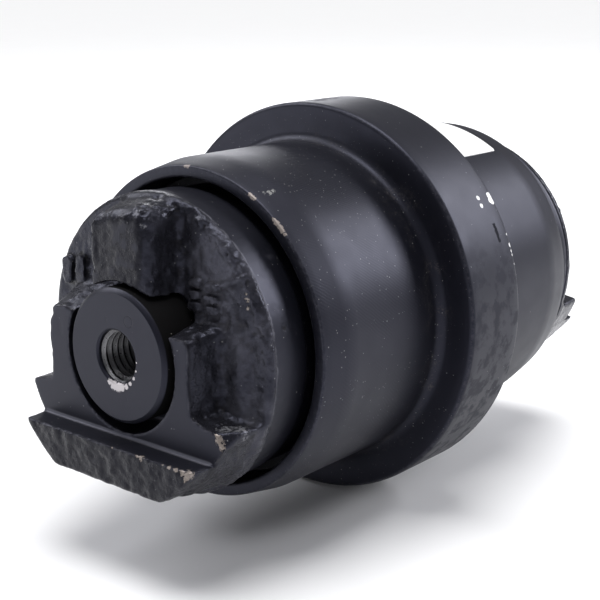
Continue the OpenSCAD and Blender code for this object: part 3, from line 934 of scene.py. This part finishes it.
def shaft_look():
    """The shaft: painted end faces with faint marks, bare metal at the hole's mouth, and painted shade on
    its sides inside the collar.
    """
    look = Look("satin_black_shaft", COOL, GLOSS)
    _, y, _ = look.places()
    patches = look.step(look.noise(0.07, 3, 0.6), 0.35, 0.7)
    colour = look.blend(patches, PAINT, tuple(c * 1.2 for c in PAINT))
    # The shaft's sides inward of the seat are coloured and glossed darker: painted shade from the collar
    shaft_shade = look.step(look.math("ABSOLUTE", y), 112.6, 111.9)
    colour = look.blend(shaft_shade, colour, SHAFT_SHADE)
    colour = look.blend(look.specks(1.2, 0.22, 0.08), colour, SHAFT_SPECK)
    bare = look.spots(SHAFT_CHIPS, 0.45)
    colour = look.blend(bare, colour, BRIGHT_STEEL)
    peel = look.times(look.noise(1.6, 2, 0.5), SHAFT_PEEL)
    height = look.math("MULTIPLY_ADD", look.tool_rings(0.6), 0.003, peel)
    height = look.math("MULTIPLY_ADD", look.ring(SHAFT_RING, 1.9, 0.22), -STAMP_DEPTH, height)
    height = look.math("MULTIPLY_ADD", look.spots(SHAFT_NICKS, 0.2), -STAMP_DEPTH, height)
    look.bump(look.math("MULTIPLY_ADD", bare, -CHIP_DEPTH, height))
    look.tint(look.blend(shaft_shade, COOL, SHADED_GLOSS))
    roughness = look.between(shaft_shade, look.between(look.noise(0.15, 4, 0.6), 0.38, 0.48), 0.72)
    return look.finish(colour, roughness, look.times(bare, 0.4))


def rubber_look():
    """Dull black rubber."""
    look = Look("nitrile_rubber")
    colour = look.blend(look.noise(0.3, 3, 0.6), (0.016, 0.016, 0.016), (0.035, 0.035, 0.034))
    look.bump(look.times(look.noise(2.5, 3, 0.6), 0.02))
    return look.finish(colour, look.between(look.noise(0.6, 3, 0.6), 0.5, 0.72))


def label_look():
    """White printed film, without the print."""
    look = Look("blank_film")
    colour = look.blend(look.noise(0.25, 3, 0.6), (0.88, 0.88, 0.87), (0.80, 0.80, 0.79))
    look.bump(look.times(look.noise(1.2, 3, 0.6), 0.012))
    return look.finish(colour, look.between(look.noise(0.5, 2, 0.5), 0.38, 0.5))


def dress_node(name, material, bevel=0.25):
    """A CAD node that stays: it gets its material, and soft edges from a bevel."""
    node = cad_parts[name]
    node.data.materials.clear()
    node.data.materials.append(material)
    weld = node.modifiers.new("weld", "WELD")
    weld.merge_threshold = 0.004 * MM
    if bevel:
        edge = node.modifiers.new("edge", "BEVEL")
        edge.width, edge.segments, edge.limit_method = bevel * MM, 2, "ANGLE"
        edge.angle_limit = math.radians(35)
        edge.harden_normals = True


# ---- stage ----


def add_camera():
    """The camera, aimed past the origin by the two pans and turned by the roll."""
    a, e, roll = (math.radians(v) for v in (AZIMUTH, ELEVATION, ROLL))
    back = Vector((math.sin(a) * math.cos(e), -math.cos(a) * math.cos(e), math.sin(e)))
    level = Vector((math.cos(a), math.sin(a), 0))
    upright = back.cross(level)
    right = level * math.cos(roll) + upright * math.sin(roll)
    up = upright * math.cos(roll) - level * math.sin(roll)
    data = bpy.data.cameras.new("camera")
    data.lens, data.sensor_width, data.clip_start, data.clip_end = LENS, SENSOR, 0.01, 200
    camera = bpy.data.objects.new("camera", data)
    place = Matrix((right, up, back)).transposed().to_4x4()
    place.translation = (back * DISTANCE + right * PAN_RIGHT + up * PAN_UP) * MM
    camera.matrix_world = place
    bpy.context.scene.collection.objects.link(camera)
    bpy.context.scene.camera = camera


# Softboxes: place in metres, width and height, and watts
SOFTBOXES = {
    "key_softbox_low": ((1.15, 1.35, 0.75), (0.45, 0.5), 15),
    "key_softbox_high": ((0.75, 1.55, 1.15), (0.45, 0.5), 12),
    "side_panel": ((-1.5, 1.55, 0.62), (0.55, 0.9), 6),
    "front_panel": ((-1.0, -1.15, 0.12), (0.8, 0.35), 2.8),
    "top_left_softbox": ((-1.3, -0.3, 1.2), (0.9, 0.9), 15),
}


def add_light(name, place, size, watts):
    """A softbox which faces the roller."""
    data = bpy.data.lights.new(name, "AREA")
    data.shape, data.size, data.size_y = "RECTANGLE", size[0], size[1]
    data.energy, data.color = watts, STUDIO_COOL
    light = bpy.data.objects.new(name, data)
    light.location = place
    light.rotation_euler = (-Vector(place)).to_track_quat("-Z", "Y").to_euler()
    bpy.context.scene.collection.objects.link(light)


def add_sky_panel():
    """A wide soft light straight overhead, which lights the whole floor evenly."""
    data = bpy.data.lights.new("overhead", "SUN")
    data.energy, data.angle = OVERHEAD, math.radians(40)
    light = bpy.data.objects.new("overhead", data)
    light.location = (0, 0, 2)
    bpy.context.scene.collection.objects.link(light)


def add_floor():
    """A plain pale floor, far enough across to fill every view."""
    size, low = 40.0, -FLANGE_R * MM - 0.001
    corners = [(-size, -size, low), (size, -size, low), (size, size, low), (-size, size, low)]
    mesh = bpy.data.meshes.new("floor")
    mesh.from_pydata(corners, [], [(0, 1, 2, 3)])
    floor = bpy.data.objects.new("floor", mesh)
    bpy.context.scene.collection.objects.link(floor)
    look = Look("pale_floor")
    colour = look.blend(look.noise(0.01, 2, 0.5), (0.9, 0.9, 0.9), (0.88, 0.88, 0.88))
    mesh.materials.append(look.finish(colour, 0.7))


def add_world():
    """A studio, a little darker round the horizon."""
    world = bpy.data.worlds.new("studio")
    world.use_nodes = True
    nodes, links = world.node_tree.nodes, world.node_tree.links
    direction = nodes.new("ShaderNodeTexCoord")
    split = nodes.new("ShaderNodeSeparateXYZ")
    height = nodes.new("ShaderNodeMapRange")
    height.interpolation_type = "SMOOTHSTEP"
    levels = {"From Min": 0.03, "From Max": 0.4, "To Min": HORIZON, "To Max": WORLD_TOP}
    for name, value in levels.items():
        height.inputs[name].default_value = value
    links.new(direction.outputs["Generated"], split.inputs[0])
    links.new(split.outputs["Z"], height.inputs["Value"])
    links.new(height.outputs[0], nodes["Background"].inputs["Strength"])
    nodes["Background"].inputs["Color"].default_value = (*STUDIO_COOL, 1)
    bpy.context.scene.world = world
    bpy.context.scene.view_settings.view_transform = "Standard"


def build():
    """Sets the stage, makes the detailed pieces and dresses the CAD nodes that stay."""
    add_camera()
    add_world()
    add_floor()
    for name, (place, size, watts) in SOFTBOXES.items():
        add_light(name, place, size, watts)
    add_sky_panel()
    iron = metal_look("lapped_iron", (0.42, 0.43, 0.45), (0.34, 0.35, 0.37), 0.24)
    bronze = metal_look("turned_bronze", (0.62, 0.43, 0.20), (0.52, 0.35, 0.16), 0.32)
    steel = metal_look("ground_steel", (0.50, 0.50, 0.52), (0.42, 0.42, 0.44), 0.30)
    zinc = metal_look("zinc_plate", (0.58, 0.56, 0.50), (0.48, 0.47, 0.43), 0.36)
    thread = metal_look("cut_thread", (0.26, 0.26, 0.27), (0.07, 0.07, 0.075), 0.28, 1.2, 0.03)
    rubber = rubber_look()
    make_collars(casting_look())
    make_shell(shell_look())
    make_label(label_look())
    dress_node("shaft", shaft_look(), 0.35)
    dress_node("oil_plug", zinc)
    for end in ("near", "far"):
        make_thread(end, thread)
        dress_node(end + "_bush", bronze)
        dress_node(end + "_lock_pin", steel)
        dress_node(end + "_shaft_o_ring", rubber, 0)
        for kind in ("rotating", "fixed"):
            dress_node(f"{end}_{kind}_seal_ring", iron)
            dress_node(f"{end}_{kind}_toric_ring", rubber, 0)


build()
